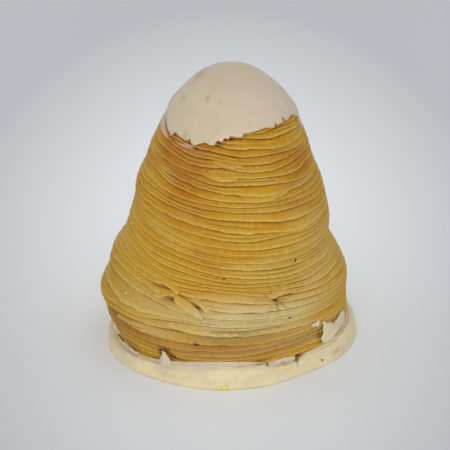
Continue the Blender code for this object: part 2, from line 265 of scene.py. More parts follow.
def spots(places, height, angle):
    """The sum of soft spots on the bell."""
    total = 0.0 * (height + angle)
    for direction, middle, round_deg, up_mm, size in places:
        total += size * peak(away_from(direction, angle), round_deg) * peak(height / MM - middle, up_mm)
    return total


def section(share, angle):
    """The level section through the bell: its centre, its reach to the side and to the front."""
    height, left, right, front = outline_at(share)
    lean = SWELL_LEAN * np.sin(angle + SWELL_TURN)
    wave = np.sin(2 * math.pi * share * SIDE_LENGTH / SWELL_PITCH + lean)
    low, high = SWELL_SHARES
    calm = smooth_step((high - share) / SWELL_FADE) * smooth_step((share - low) / SWELL_FADE)
    flat = MM * spots(FLATS, height, angle)
    return 0.5 * (right - left), 0.5 * (left + right) - flat, front + SWELL * wave * calm - flat


def bell_point(share, angle, out):
    """A point on the bell, moved out from its surface by the length out."""
    step = 0.004
    below, above = np.clip(share - step, 0, 1), np.clip(share + step, 0, 1)
    rise = outline_at(above)[0] - outline_at(below)[0]
    run = section(above, angle)[1] - section(below, angle)[1]
    size = np.hypot(rise, run)
    centre, side, front = section(share, angle)
    outward = out * rise / size
    x = centre + (side + outward) * np.cos(angle)
    y = (front + outward) * np.sin(angle)
    return np.stack([x, y, outline_at(share)[0] - out * run / size + 0.0 * angle], -1)


def uneven(points, size, octaves=2, fall=0.8, finer=2.1):
    """Cloudy unevenness between about -1 and 1, with lumps of that size in metres."""
    flat = (points / size).reshape(-1, 3).tolist()
    values = [noise.fractal(Vector(p), fall, finer, octaves) for p in flat]
    return np.array(values).reshape(points.shape[:-1])


def wavy(turn, kinds):
    """A smooth uneven value along the strip, from a few sine waves of each kind."""
    total = 0.0 * turn
    for size, seed, waves, fastest in kinds:
        draw = random.Random(seed)
        value, whole = 0.0, 0.0
        for _ in range(waves):
            rate = draw.uniform(SLOWEST_WAVE, fastest)
            phase = draw.uniform(0.0, 2 * math.pi)
            strength = draw.uniform(0.5, 1.0)
            value = value + strength * np.sin(2 * math.pi * rate * turn + phase)
            whole += strength
        total = total + WAVE_GAIN * size * value / whole
    return total


def front_columns(columns):
    """Angles once round from 0 to a full turn, closer together at the front."""
    even = np.linspace(0.0, 2 * math.pi, columns + 1)
    angle = even + FRONT_SHARE * np.sin(even - math.pi / 2 + FRONT_SHARE)
    return (angle - angle[0]) * 2 * math.pi / (angle[-1] - angle[0])


def strip_widths(angle, first, last):
    """For each turn and column of one strip: the turn's number, and how wide it shows."""
    turn = np.arange(first, last)[:, None] + angle / (2 * math.pi)
    width = LAYER + (HIDDEN_LAYER - LAYER) * smooth_step((turn - PLAIN_TURNS) / WIDENING_TURNS)
    return turn, width * np.clip(turn - first, 0, 1) * np.clip(last - turn, 0, 1)


def summed(widths):
    """The length up to the start of each turn, and to the end of the last."""
    return np.vstack([np.cumsum(widths, axis=0) - widths, widths.sum(axis=0)])


def laid_lips(angle, first, last):
    """For each turn and column of one strip: its number, the way up the side to its lip, its width."""
    turn, width = strip_widths(angle, first, last)
    before = strip_widths(angle, -1, SPLICE)[1].sum(axis=0)
    total = before + strip_widths(angle, SPLICE - 1, TURNS)[1].sum(axis=0)
    start = (0.0 if first < 0 else before) + summed(width)
    lips = start / total * (SIDE_LENGTH - STRIP_END)
    steady = smooth_step((lips - lips[0]) / (3 * LAYER)) * smooth_step((lips[-1] - lips) / (3 * LAYER))
    lips[:-1] += wavy(turn, WANDER) * steady[:-1]
    least = summed(LEAST_SHOWN * np.clip(width / LAYER, 0, 1))
    lips = np.minimum(np.maximum.accumulate(lips - least, axis=0) + least, lips[-1] - least[-1] + least)
    return turn, lips, np.diff(lips, axis=0)


def settled(length, angle):
    """The share of the side where a turn came to rest as the dough settled in the oven."""
    share = length / SIDE_LENGTH
    height, left, right, _ = outline_at(share)
    dip = DIP_FRONT * peak(height - DIP_MIDDLE, DIP_SPREAD)
    low, high = RISE_HEIGHTS
    rise = RISE_LEFT * smooth_step((height - low) / (high - low))
    near_tip = smooth_step((1.0 - share) / NEAR_TIP)
    moved = 0.5 * (left + right) * near_tip * (dip * np.sin(angle) - rise * np.cos(angle))
    for place in SPREADS:
        moved = moved + (height - place[1] * MM) * spots([place], height, angle)
    return np.clip(share + moved / SIDE_LENGTH, 0.0, 1.0)


# The glaze stops at a ragged line under the tip: direction and height in mm along the front.
CAP_FRONT = [
    (-200, 76.8), (-190, 79.4), (-181, 77.2), (-173, 76.3), (-166.6, 75.3), (-157, 74), (-151, 73.6),
    (-148, 72.9), (-146.4, 74.3), (-144, 74.4), (-137, 73.8), (-130, 73.5), (-127.6, 74.2), (-126, 74.2),
    (-124.4, 73.3), (-121.5, 72.9), (-118, 73.5), (-112, 74.3), (-108, 73.7), (-104, 73.8), (-102.6, 75),
    (-101.2, 75.3), (-99.8, 74.9), (-97.6, 75), (-96.2, 75.9), (-94.8, 75.9), (-92.4, 75.7), (-91, 76.6),
    (-89.6, 76.6), (-86, 76.3), (-80.6, 76.2), (-79.2, 77.1), (-77.6, 77.3), (-75, 77.1), (-58, 77.8),
    (-48, 77.1), (-46.2, 78.2), (-44.6, 78.1), (-43, 77.3), (-36.5, 77.5), (-34.8, 78.8), (-33, 78.6),
    (-30, 77.2), (-18, 77.6), (-10, 76.2), (0, 74.3),
]
CAP_FADE = 12.0
CAP_BACK = 75.2 * MM
CAP_BACK_WAVES = [(0.9 * MM, 5, 14, 9), (0.5 * MM, 6, 20, 24)]
CAP_RAGGED = [(0.08 * MM, 7, 40, 60)]
CAP_THICK = 1.15 * MM

# The glaze at the foot: how far it spreads, and how high it climbs the dough, with lobes of both
# given as a direction, a spread in degrees and a change in mm.
FOOT_REACH = 37.3 * MM
FOOT_RIM = 0.7 * MM
FOOT_LOBES = [
    (-155, 28, 1.1), (-100, 45, -2.2), (-49, 20, -2.2), (5, 26, 2.6), (30, 20, 2), (120, 30, 0.9),
    (178, 14, -0.4),
]
FOOT_TOP = 4.0 * MM
FOOT_TOP_LOBES = [
    (-92, 33, 4.2), (-14, 31, 3.5), (176, 18, -1.6), (-60, 10, -1), (-25, 12, -0.9), (10, 12, 2),
]
FOOT_TOP_WAVES = [(0.25 * MM, 8, 20, 20), (0.15 * MM, 9, 30, 60)]


def lobed(base, lobes, angle):
    """A length that swells or shrinks in some directions."""
    return base + MM * sum(change * peak(away_from(at, angle), spread) for at, spread, change in lobes)


def foot_top(angle):
    """The height that the glaze of the foot reaches on the dough in one direction."""
    turn = np.asarray(angle) / (2 * math.pi)
    return lobed(FOOT_TOP, FOOT_TOP_LOBES, angle) + wavy(turn, FOOT_TOP_WAVES)


def cap_edge(angle):
    """The height of the cap's ragged lower edge in one direction."""
    turn = np.asarray(angle) / (2 * math.pi) % 1.0
    first = CAP_FRONT[0][0]
    direction = (turn * 360 - first) % 360 + first
    places, heights = np.array(CAP_FRONT).T
    front = np.interp(direction, places, heights) * MM
    back = CAP_BACK + wavy(turn, CAP_BACK_WAVES)
    turned_back = smooth_step(direction / CAP_FADE) * smooth_step((first + 360 - direction) / CAP_FADE)
    return front + (back - front) * turned_back + wavy(turn, CAP_RAGGED)


def puckered(height, angle):
    """Small folds that fan out from a few places where the sheet was pinched."""
    total = 0.0 * (height + angle)
    reach = 0.5 * (outline_at(share_at_height(height))[1] + outline_at(share_at_height(height))[2])
    for direction, middle, size, folds, depth in PUCKERS:
        x = np.radians(away_from(direction, angle)) * reach / MM
        y = height / MM - middle
        far = np.hypot(x, y) / size
        fan = np.sin(folds * np.arctan2(y, x) + direction)
        total += depth * fan * far * np.exp(1 - PUCKER_FADE * far**2)
    return total * MM


def quads(number):
    """The four-sided faces between the rows and columns of a table of point numbers."""
    corners = [number[:-1, :-1], number[:-1, 1:], number[1:, 1:], number[1:, :-1]]
    return np.stack(corners, -1).reshape(-1, 4)


def placed(name, data):
    """A new object with this data, put in the scene."""
    thing = bpy.data.objects.new(name, data)
    bpy.context.scene.collection.objects.link(thing)
    return thing


def make_piece(name, points, faces, material, masks):
    """A shaded mesh piece on the pastry, with its masks for the material kept at its points."""
    mesh = bpy.data.meshes.new(name)
    mesh.from_pydata(points.tolist(), [], faces)
    for mask, values in masks.items():
        values = np.asarray(values, np.float32)
        kind, field = ("FLOAT_VECTOR", "vector") if values.ndim == 2 else ("FLOAT", "value")
        mesh.attributes.new(mask, kind, "POINT").data.foreach_set(field, values.ravel())
    mesh.materials.append(material)
    mesh.shade_smooth()
    mesh.update()
    piece = placed(name, mesh)
    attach(piece, "root")
    return piece


def add(tree, kind, inputs=(), **settings):
    """A shader node with its settings, and a value or a link for each input that is given."""
    node = tree.nodes.new(kind)
    for key, value in settings.items():
        setattr(node, key, value)
    for key, value in dict(inputs).items():
        if isinstance(value, bpy.types.NodeSocket):
            tree.links.new(value, node.inputs[key])
        else:
            node.inputs[key].default_value = value
    return node


def calc(tree, operation, *values, clamp=False):
    """The result of one sum on values or sockets."""
    return add(tree, "ShaderNodeMath", enumerate(values), operation=operation, use_clamp=clamp).outputs[0]


def mixed(tree, share, first, second, how="MIX"):
    """One colour mixed into another."""
    inputs = {0: share, 6: first, 7: second}
    for key in (6, 7):
        if isinstance(inputs[key], tuple):
            inputs[key] = (*inputs[key], 1.0)
    return add(tree, "ShaderNodeMix", inputs, data_type="RGBA", blend_type=how).outputs[2]


def cloud(tree, vector, scale, detail=2.0, roughness=0.5):
    """Soft noise centred on 0, mostly between -0.5 and 0.5."""
    inputs = {"Vector": vector, "Scale": scale, "Detail": detail, "Roughness": roughness}
    return calc(tree, "SUBTRACT", add(tree, "ShaderNodeTexNoise", inputs).outputs[0], 0.5)


def added(tree, base, *changes, clamp=False):
    """A base value with changes added to it, each a value and its strength."""
    for number, (change, strength) in enumerate(changes, 1):
        last = number == len(changes)
        base = calc(tree, "MULTIPLY_ADD", change, strength, base, clamp=clamp and last)
    return base


def stretched(tree, vector, factors):
    """A place with each of its parts multiplied by a factor."""
    return add(tree, "ShaderNodeVectorMath", {0: vector, 1: factors}, operation="MULTIPLY").outputs[0]


def lit(tree, colour, light):
    """A colour made lighter or darker by a value."""
    shade = add(tree, "ShaderNodeCombineColor", {0: light, 1: light, 2: light}).outputs[0]
    return mixed(tree, 1.0, colour, shade, "MULTIPLY")


def new_material(name):
    """A material with its node tree and its shader."""
    material = bpy.data.materials.new(name)
    material.use_nodes = True
    return material, material.node_tree, material.node_tree.nodes["Principled BSDF"]


def effect(name, inputs, outputs):
    """An empty shader node group, with its input and output nodes."""
    group = bpy.data.node_groups.new(name, "ShaderNodeTree")
    for direction, sockets in (("INPUT", inputs), ("OUTPUT", outputs)):
        for socket, kind in sockets.items():
            group.interface.new_socket(socket, in_out=direction, socket_type="NodeSocket" + kind)
    return group, group.nodes.new("NodeGroupInput").outputs, group.nodes.new("NodeGroupOutput").inputs


def from_effect(name, group, bump_strength, bump_depth):
    """A material with its shader: its masks come from the mesh, its colour and grain from the effect."""
    material, tree, shader = new_material(name)
    look = add(tree, "ShaderNodeGroup", node_tree=group)
    for mask in look.inputs:
        source = add(tree, "ShaderNodeAttribute", attribute_name=mask.name.lower())
        tree.links.new(source.outputs["Vector" if mask.type == "VECTOR" else "Fac"], mask)
    colour, roughness, grain = look.outputs
    inputs = {"Height": grain, "Strength": bump_strength, "Distance": bump_depth}
    bump = add(tree, "ShaderNodeBump", inputs)
    tree.links.new(colour, shader.inputs["Base Color"])
    tree.links.new(roughness, shader.inputs["Roughness"])
    tree.links.new(bump.outputs[0], shader.inputs["Normal"])
    return material, shader


# Along the strip a tone changes slowly and streaks run long. Patches and grain lie anywhere.
TONE_STRETCH = (0.035, 0.0, 0.0)
STREAK_STRETCH = (0.16, 2.6, 1.0)
PATCH_FINENESS = 120.0
GRAIN_FINENESS = 900.0


def baked_dough():
    """Colour, dryness and grain of baked dough, from how toasted, pale, sunk or thin it is."""
    floats = dict.fromkeys(["Toast", "Pale", "Grey", "Crease", "Edge", "Film"], "Float")
    results = {"Colour": "Color", "Dryness": "Float", "Grain": "Float"}
    group, given, result = effect("baked dough", {"Strip": "Vector", **floats}, results)
    place = add(group, "ShaderNodeTexCoord").outputs["Object"]
    tone = cloud(group, stretched(group, given["Strip"], TONE_STRETCH), 1.0, 1.0)
    streaks = cloud(group, stretched(group, given["Strip"], STREAK_STRETCH), 1.0, 3.0, 0.6)
    patchy = cloud(group, place, PATCH_FINENESS, 3.0)
    fine = cloud(group, place, GRAIN_FINENESS, 3.0, 0.65)

    # The toast mask also carries painted shade, in the recess under each lip and under the belly.
    toast = added(group, given["Toast"], (patchy, 0.9), (streaks, 0.7), (tone, 0.95), clamp=True)
    pale = added(group, given["Pale"], (streaks, -0.5), (tone, -0.9), clamp=True)
    grey = calc(group, "MULTIPLY", added(group, given["Grey"], (streaks, 0.9)), 0.8, clamp=True)
    # Painted shade: the crease mask darkens the colour towards brown in the creases, partly the dough's
    # own browner colour there.
    sunk = calc(group, "MULTIPLY", given["Crease"], 0.85, clamp=True)
    # Where the crease mask is deepest, in pits, openings and slots, painted shade darkens the colour to
    # near black.
    burnt = added(group, -1.75, (given["Crease"], 1.6), clamp=True)
    shown = added(group, 0.62, (toast, -0.2))
    # Thin edges are painted lighter: partly the paler cut edge, partly a painted highlight.
    thin = calc(group, "MULTIPLY", added(group, given["Edge"], (fine, 0.5)), shown, clamp=True)
    film = added(group, -0.45, (given["Film"], 1.5), (patchy, 1.2), (sunk, -0.7), clamp=True)
    film = calc(group, "MULTIPLY", film, 0.85)

    colour = mixed(group, toast, GOLDEN, TOASTED)
    layers = [(pale, PALE_DOUGH), (grey, GREY_DOUGH), (sunk, CREASE_SHADE_BROWN), (burnt, OPENING_SHADE)]
    for share, over in [*layers, (thin, EDGE_CREAM_AND_HIGHLIGHT), (film, WHITE_FILM)]:
        colour = mixed(group, share, colour, over)
    colour = lit(group, colour, added(group, 1.0, (fine, 0.42), (streaks, 0.4)))
    group.links.new(colour, result["Colour"])
    group.links.new(added(group, 0.55, (streaks, 0.35)), result["Dryness"])
    group.links.new(added(group, fine, (streaks, 0.5)), result["Grain"])
    return group


def dough_material():
    material, shader = from_effect("laminated dough", baked_dough(), 0.45, 0.18 * MM)
    shader.inputs["Specular IOR Level"].default_value = 0.1
    return material


DOUGH = dough_material()


def belly(height, angle):
    """How far the belly swells over its lower edge or draws back below it, its painted shade, and its thin
    lip, which is painted lighter.
    """
    direction = np.degrees(angle) % 360 - 360
    places, heights = np.array(BELLY_EDGE).T
    above = height - np.interp(direction, places, heights) * MM
    near = peak(away_from(BELLY_MIDDLE, angle), BELLY_REACH)
    roll = peak(above - BELLY_ROLL_HEIGHT, BELLY_ROLL_SPREAD)
    under = smooth_step(-above / BELLY_EDGE_SPREAD)
    shade = under * np.exp(-np.clip(-above, 0, None) / BELLY_SHADE_DEPTH)
    shade = shade + 0.7 * under * peak(above, BELLY_SLOT)
    lip = peak(above - BELLY_LIP_HEIGHT, BELLY_EDGE_SPREAD)
    return near * (BELLY_ROLL * roll + BELLY_LIP * lip - BELLY_RECESS * under), near * shade, near * lip


# What the glaze does to the dough beside it: lips stand deeper and browner near the cap's edge, with a
# line of painted shade and a ridge under it.
# Under the cap and inside the foot the dough draws back, and a line of painted shade runs just above the
# foot's top.
BY_CAP = 1.6 * MM
DEEPER_BY_CAP = 0.45
DEEPER_BELOW_CAP = 0.8 * MM
TOAST_BY_CAP = 1.8 * MM
CAP_LINE = 0.25 * MM
RIDGE_BELOW_CAP = 0.5 * MM
RIDGE_WIDTH = 0.45 * MM
CAP_HOLDS = 0.6 * MM
IN_FOOT = 0.8 * MM
IN_FOOT_FADE = 1.5 * MM
IN_FOOT_SUNK = 0.5 * MM
FOOT_LINE_ABOVE = 0.7 * MM
FOOT_LINE_WIDTH = 0.4 * MM


def lip_depths(turn, width, height, angle):
    """How deep each lip stands over the turn below, then its second lip's place and depth."""
    full = np.clip(width / LAYER, 0.0, 1.5) ** 0.6
    deeper = np.clip(1.0 + spots(DEEPER, height, angle), 0.2, 2.0)
    deeper = deeper + DEEPER_BY_CAP * peak(cap_edge(angle) - height - DEEPER_BELOW_CAP, BY_CAP)
    main = LIP_DEPTH * full * deeper * np.clip(LIP_MEAN + wavy(turn, LIP_CHANGE), *LIP_RANGE)
    second = SECOND_LIP * full * np.clip(SECOND_MEAN + wavy(turn, SECOND_CHANGE), *SECOND_RANGE)
    calm = np.clip(1.0 + spots(CALM, height, angle), 0.0, 1.0)
    return main * (0.32 + 0.68 * calm), wavy(turn, SECOND_PLACE), second * calm


def turn_profile(width, main, second_place, second):
    """Across each turn from its lip up: place, out, edge and crease, for its main and second lip. The edge
    is painted lighter, a pale cut edge with a painted highlight, and the crease is painted shade under
    each lip.
    """
    at, slope = SECOND_MIDDLE + SECOND_SHIFT * second_place, LIP_SLOPE * main + second
    shown = np.clip(second / SECOND_LIP, 0, 1)
    deep = np.clip(main / LIP_DEPTH, 0, DEEPEST_LIP)
    rows = [
        (0.05, -main - LIP_SLOT * deep, 0, 0.25 + 0.8 * np.clip(deep, 0, 1)),
        (-0.03, -0.24 * main, 0.3, 0.5 * np.clip(deep, 0, 1)),
        (0, 0, 1, 0),
        (0.11, -0.06 * slope, 0.6, 0),
        (0.5 * at, -0.5 * slope * at, 0.08, 0),
        (at - 0.05, -slope * (at - 0.03) - 0.2 * second, 0.0, 0.7 * shown),
        (at, 0.75 * second - slope * at, 0.3 * shown, 0.3 * shown),
        (at + 0.04, second - slope * (at + 0.04), 0.75 * shown, 0.0),
        (0.5 + 0.5 * at, second - slope * (0.5 + 0.5 * at), 0, 0.05),
        (0.9, second - 0.9 * slope, 0, 0.6 * deep),
    ]
    return [np.stack([value + 0.0 * width for value in column], axis=1) for column in zip(*rows)]


def relief(shares, angle, out, free):
    """How far the dough stands out from the bell. What is free of the turn below lifts and folds more."""
    heights = outline_at(shares)[0]
    out = out + MM * spots(LIFTS, heights, angle) * free + MM * spots(DENTS, heights, angle)
    out = out - PIT_DEPTH * spots(PITS, heights, angle) + belly(heights, angle)[0]
    out = out + puckered(heights, angle) * (PUCKER_HELD + (1.0 - PUCKER_HELD) * free)
    out = out + DOUGH_LUMP * uneven(bell_point(shares, angle, 0.0 * shares), DOUGH_LUMP_SIZE, 3)
    under_cap = smooth_step((heights - cap_edge(angle)) / BY_CAP)
    out = np.minimum(out, CAP_HOLDS) * (1.0 - under_cap) - CAP_THICK * under_cap
    in_foot = smooth_step((foot_top(angle) - heights - IN_FOOT) / IN_FOOT_FADE)
    return out * (1.0 - 0.8 * in_foot) - IN_FOOT_SUNK * in_foot


def dough_masks(heights, angle, place, edge, crease):
    """Where the dough is toasted, pale, grey, creased, filmed with glaze, or at a thin edge. Creases,
    pits, recesses and the lines along the glaze get painted shade, and thin edges get a painted highlight.
    """
    _, shade, belly_lip = belly(heights, angle)
    below_cap = cap_edge(angle) - heights
    above_foot = heights - foot_top(angle)
    ridge = spots(RIDGES, heights, angle) * peak(below_cap - RIDGE_BELOW_CAP, RIDGE_WIDTH)
    # Painted shade: darker in the creases, the dark places, the pits and the belly's recess, more so near
    # the cap, along a line under the cap's edge, and in a line just above the foot's top. The brown ridge
    # under the cap is the dough's own colour.
    creased = (crease + spots(DARKS, heights, angle) + 0.8 * shade) * (1.0 + 0.3 * peak(below_cap, BY_CAP))
    creased = creased + 0.9 * ridge + spots(PITS, heights, angle) + 0.35 * peak(below_cap, CAP_LINE)
    foot_line = np.clip(0.35 + wavy(angle / (2 * math.pi), FOOT_SHADE), 0, 1)
    creased = creased + foot_line * peak(above_foot - FOOT_LINE_ABOVE, FOOT_LINE_WIDTH)
    filmed = spots(FILMS, heights, angle) + edge * spots(WHITE_LIPS, heights, angle) - 1.5 * ridge
    # Painted shade: each turn's face is browner up towards the turn above, where it lies in the recess
    # under that lip, and under the belly. Near the cap's edge the browning is the dough's own.
    recess = smooth_step((place - 0.35) / 0.6)
    shade_and_cap_toast = 0.5 * shade + 0.2 * recess + 0.3 * peak(below_cap, TOAST_BY_CAP) - 0.04
    return {
        "toast": spots(TOASTS, heights, angle) + shade_and_cap_toast,
        "pale": spots(PALES, heights, angle) - 0.3 * shade,
        "grey": spots(GREYS, heights, angle),
        "crease": np.clip(creased, 0.0, 2.0),
        "film": np.clip(filmed, 0.0, 1.0),
        # The thin edges and the belly's lip are painted lighter, a paler cut edge with a painted
        # highlight, less so in the belly's painted shade.
        "edge": edge * np.clip(1.0 - shade, 0, 1) + 0.9 * belly_lip,
    }


def strip_faces(rows, per_turn):
    """Faces of a strip whose columns run on from one turn into the next, and the points they use."""
    point = np.arange(rows)[:, None] * DOUGH_COLUMNS + np.arange(DOUGH_COLUMNS + 1)
    point[:, -1] = np.minimum(np.arange(rows) + per_turn, rows - 1) * DOUGH_COLUMNS
    point[:per_turn, 0] = point[per_turn, 0]
    faces = [list(dict.fromkeys(corners)) for corners in quads(point).tolist()]
    faces = [face for face in faces if len(face) > 2]
    faces.append(list(dict.fromkeys(point[0, :-1].tolist()))[::-1])
    faces.append(point[-1, :-1].tolist())
    used = np.unique([corner for face in faces for corner in face])
    fresh = np.zeros(rows * DOUGH_COLUMNS, int)
    fresh[used] = np.arange(len(used))
    return [[int(fresh[corner]) for corner in face] for face in faces], used


def wound_strip(name, first, last):
    """One strip of the roll as a closed mesh, turn by turn, each turn lapping over the last."""
    angle = front_columns(DOUGH_COLUMNS)
    turn, lips, width = laid_lips(angle, first, last)
    lip_heights = outline_at(settled(lips[:-1], angle))[0]
    depths = lip_depths(turn, width, lip_heights, angle)
    place, out, edge, crease = turn_profile(width, *depths)
    ripple = wavy(turn, RIPPLE) * (1.0 + spots(RAGGED, lip_heights, angle))
    lengths = lips[:-1, None] + width[:, None] * (place + ripple[:, None] * np.clip(1.0 - place, 0, 1))
    free = np.clip(1.0 + out / (1.2 * LIP_DEPTH), 0, 1)
    out = out + wavy(turn, LIP_FLUTTER)[:, None] * free
    per_turn = place.shape[1]

    def strip_rows(values, closing=0.0):
        """Rows from the strip's start to its end, from values for each turn and place across it."""
        spread = np.broadcast_to(values, (len(turn), per_turn, DOUGH_COLUMNS + 1))
        closing = np.broadcast_to(closing, (1, DOUGH_COLUMNS + 1))
        return np.vstack([spread.reshape(-1, DOUGH_COLUMNS + 1), closing])

    shares = settled(strip_rows(lengths, lips[-1]), angle)
    grid = bell_point(shares, angle, relief(shares, angle, strip_rows(out), strip_rows(free)))
    if first < 0:
        grid[0, :, 2] = BELL_MM[0][0] * MM
    grid[per_turn, 0] = grid[0, 0]
    faces, used = strip_faces(len(grid), per_turn)

    profile = [strip_rows(values) for values in (place, edge, crease)]
    masks = dough_masks(outline_at(shares)[0], angle, *profile)
    along = strip_rows(turn[:, None] * 200.0, last * 200.0)
    across = strip_rows(place * width[:, None] / MM)
    masks["strip"] = np.stack([along, across, 0.0 * along], -1)
    for mask, values in masks.items():
        masks[mask] = values[:, :-1].reshape(len(grid) * DOUGH_COLUMNS, -1)[used].squeeze()
    piece = make_piece(name, grid[:, :-1].reshape(-1, 3)[used], faces, DOUGH, masks)
    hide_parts("pastry")


wound_strip("dough_lower_strip", -1, SPLICE)
wound_strip("dough_upper_strip", SPLICE - 1, TURNS)

# The glaze cap: the tip was dipped in thick ivory glaze. It ran down a little, stopped in a rounded,
# ragged edge that bridges the creases of the dough, and set with a soft gloss and a few blemishes.
CAP_COLUMNS = 480
CAP_ROWS = 30
CAP_PROUD = 0.12 * MM
# The rolled rim, from inside the cap round its lower edge: up from the ragged edge and out, in mm.
CAP_RIM = [
    (6, -1.7), (0.8, -1.4), (0.15, -0.95), (-0.1, -0.45), (-0.02, 0), (0.18, 0.24), (0.5, 0.36),
    (1.5, 0.36), (2.6, 0.30), (4.2, 0.22), (6.5, 0.18),
]
CAP_CALM_ROWS = 4
CAP_INNER_ROWS = 4
CAP_SMOOTHING = 25
# How far up to the tip the two rows of the cap's lining lie, and the last row of its outer face.
CAP_LINING = [[0.985], [0.5]]
CAP_TOP = 0.9995
# The waves of the thick glaze, as depth and size, the flat at its tip, and how far a stain is sunk.
CAP_WAVES = [(0.18 * MM, 9 * MM), (0.09 * MM, 2.5 * MM)]
CAP_FLAT = 0.25 * MM
CAP_FLAT_FROM = 0.85
CAP_FLAT_FADE = 0.125
STAIN_DEPTH = 0.12 * MM
CAP_EDGE_WHITE = 3.0 * MM
CAP_EDGE_THIN = 0.5 * MM

WHITE_GLAZE = (0.590, 0.470, 0.358)
CREAM_GLAZE = (0.570, 0.472, 0.305)
PUDDLE_GLAZE = (0.680, 0.570, 0.340)
STAIN_BROWN = (0.30, 0.190, 0.080)
# Painted shade, dark red, in gaps and holes in the glaze.
GAP_SHADE_RED = (0.150, 0.030, 0.015)
CAP_CREAM = [(-125, 79, 38, 8, 0.9), (-50, 80, 30, 8, -0.5)]
# Brown stains and blemishes on the cap. The first is not a stain: it is a band of painted shade that
# darkens the cap's top.
CAP_STAINS_AND_TOP_SHADE = [
    (-90, 91, 300, 5, 0.14), (178, 88, 14, 1, 0.45), (-123.3, 85.3, 2.6, 0.5, 0.6),
    (-162.7, 82.6, 4, 1, 0.3), (4, 82.9, 3, 0.5, 0.45), (-105, 84.8, 3, 0.6, 0.2),
    (-132, 74.6, 2.5, 1.6, 0.35), (70, 84, 5, 0.8, 0.4),
]


def set_glaze():
    """Colour, dullness and flow of set glaze, from how creamy, stained or thin it is. The stain mask also
    carries painted shade: a darker band on the cap's top, and dark red lines in the gaps at the foot's
    top.
    """
    floats = dict.fromkeys(["Cream", "Puddle", "Stain_and_shade", "Thin"], "Float")
    results = {"Colour": "Color", "Dullness": "Float", "Flow": "Float"}
    group, given, result = effect("set glaze", floats, results)
    place = add(group, "ShaderNodeTexCoord").outputs["Object"]
    broad = cloud(group, place, 95.0, 2.0)
    small = cloud(group, place, 420.0, 3.0, 0.6)
    fine = cloud(group, place, 1500.0, 2.0)

    cream = added(group, given["Cream"], (broad, 1.6), (small, 0.9), clamp=True)
    puddle = added(group, given["Puddle"], (small, 0.7), (broad, 1.8), clamp=True)
    puddle = calc(group, "MULTIPLY", puddle, calc(group, "GREATER_THAN", given["Puddle"], 0.01))
    stained = calc(group, "GREATER_THAN", given["Stain_and_shade"], 0.02)
    stain_and_shade = calc(group, "MULTIPLY", added(group, given["Stain_and_shade"], (small, 0.25)), stained, clamp=True)
    # Where the stain mask is highest, painted shade darkens the glaze to dark red in the gaps.
    hole = added(group, -1.8, (given["Stain_and_shade"], 2.0), clamp=True)
    thin = calc(group, "MULTIPLY", given["Thin"], added(group, 0.8, (small, 1.2)), clamp=True)

    colour = mixed(group, cream, WHITE_GLAZE, CREAM_GLAZE)
    for share, over in [(puddle, PUDDLE_GLAZE), (stain_and_shade, STAIN_BROWN), (hole, GAP_SHADE_RED), (thin, GOLDEN)]:
        colour = mixed(group, share, colour, over)
    colour = lit(group, colour, added(group, 1.0, (small, 0.16), (broad, 0.12), (fine, 0.07)))
    group.links.new(colour, result["Colour"])
    group.links.new(added(group, 0.42, (small, 0.3)), result["Dullness"])
    group.links.new(added(group, small, (fine, 0.25)), result["Flow"])
    return group


def glaze_material():
    material, shader = from_effect("white glaze", set_glaze(), 0.4, 0.2 * MM)
    shader.inputs["Subsurface Weight"].default_value = 0.25
    shader.inputs["Subsurface Radius"].default_value = (1.0, 0.8, 0.5)
    shader.inputs["Subsurface Scale"].default_value = 1.5 * MM
    shader.inputs["Specular IOR Level"].default_value = 0.35
    return material


GLAZE = glaze_material()


def lumpy(points, lumps):
    """Unevenness in metres, from the depth and the size of each kind of lump."""
    return sum(depth * uneven(points, size) for depth, size in lumps)


def ringed(rings):
    """Points and faces of a closed mesh through rings of points, with a fan at each end."""
    count, last_ring = rings.shape[1], (len(rings) - 1) * rings.shape[1]
    points = np.vstack([rings.reshape(-1, 3), rings[0].mean(axis=0), rings[-1].mean(axis=0)])
    ring = np.arange(len(rings) - 1)[:, None] * count
    here = np.arange(count)
    after = (here + 1) % count
    sides = [ring + here, ring + after, ring + count + after, ring + count + here]
    first_fan = np.stack([np.full(count, len(points) - 2), after, here], -1)
    last_fan = np.stack([np.full(count, len(points) - 1), last_ring + here, last_ring + after], -1)
    return points, np.stack(sides, -1).reshape(-1, 4).tolist() + first_fan.tolist() + last_fan.tolist()


def with_ends(values):
    """Mask values for a ringed mesh, with those for the middle of its two fans."""
    return np.concatenate([values.ravel(), [values[0].mean(), values[-1].mean()]])


